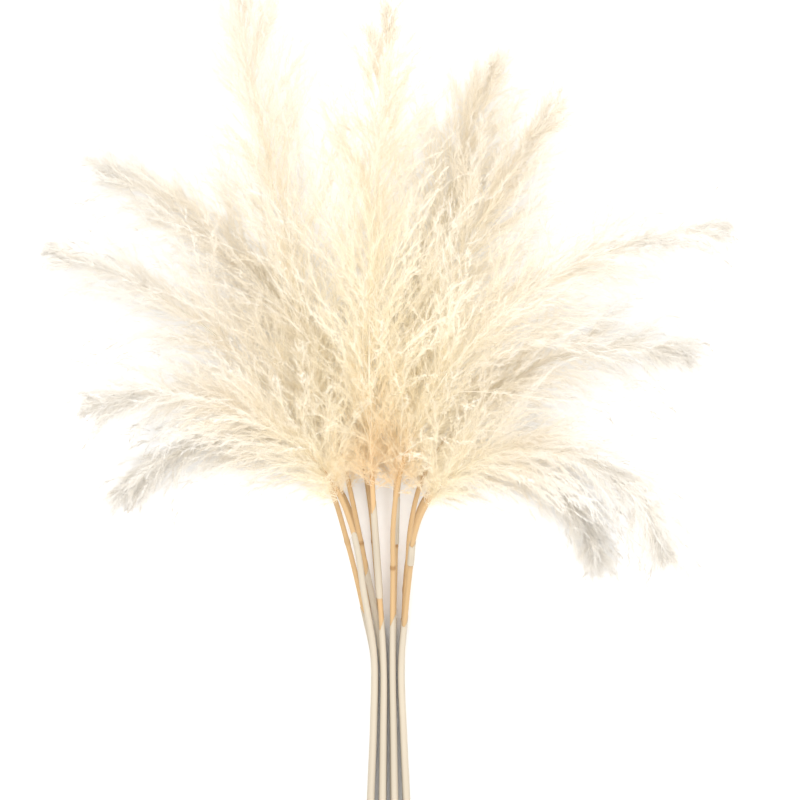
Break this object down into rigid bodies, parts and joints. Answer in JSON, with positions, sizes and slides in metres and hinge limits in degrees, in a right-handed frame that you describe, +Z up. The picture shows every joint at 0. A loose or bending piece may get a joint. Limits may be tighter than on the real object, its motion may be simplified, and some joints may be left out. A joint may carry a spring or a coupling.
{
  "type": "pampas grass bundle",
  "caption": "Bundle of dried pampas grass lying flat: tan stalks in cream leaf sheaths, gathered at a narrow waist, with long fluffy ivory plumes fanned out and nodding.",
  "frame": {"origin": "on the surface the bundle lies on, under the middle of its outline", "axes": "+Y from the cut ends to the plume tips, +X to the right when looking down with the plumes ahead, +Z up from the surface"},
  "size_m": [0.5626, 0.8118, 0.1674],
  "materials": {
    "stalk": "smooth dry cane with a slight sheen",
    "sheath": "matt papery dry leaf sheath",
    "plume": "soft silky fluff"
  },
  "bodies": {
    "root": {"lower_sheath_01": "sheath", "lower_sheath_02": "sheath", "lower_sheath_03": "sheath", "lower_sheath_04": "sheath", "lower_sheath_05": "sheath", "lower_sheath_06": "sheath", "lower_sheath_07": "sheath", "lower_sheath_08": "sheath", "lower_sheath_09": "sheath", "lower_sheath_10": "sheath", "lower_sheath_11": "sheath", "lower_sheath_12": "sheath", "plume_01": "plume", "plume_02": "plume", "plume_03": "plume", "plume_04": "plume", "plume_05": "plume", "plume_06": "plume", "plume_07": "plume", "plume_08": "plume", "plume_09": "plume", "plume_10": "plume", "plume_11": "plume", "plume_12": "plume", "stalk_01": "stalk", "stalk_02": "stalk", "stalk_03": "stalk", "stalk_04": "stalk", "stalk_05": "stalk", "stalk_06": "stalk", "stalk_07": "stalk", "stalk_08": "stalk", "stalk_09": "stalk", "stalk_10": "stalk", "stalk_11": "stalk", "stalk_12": "stalk", "upper_sheath_07": "sheath", "upper_sheath_10": "sheath", "upper_sheath_12": "sheath"}
  },
  "joints": []
}
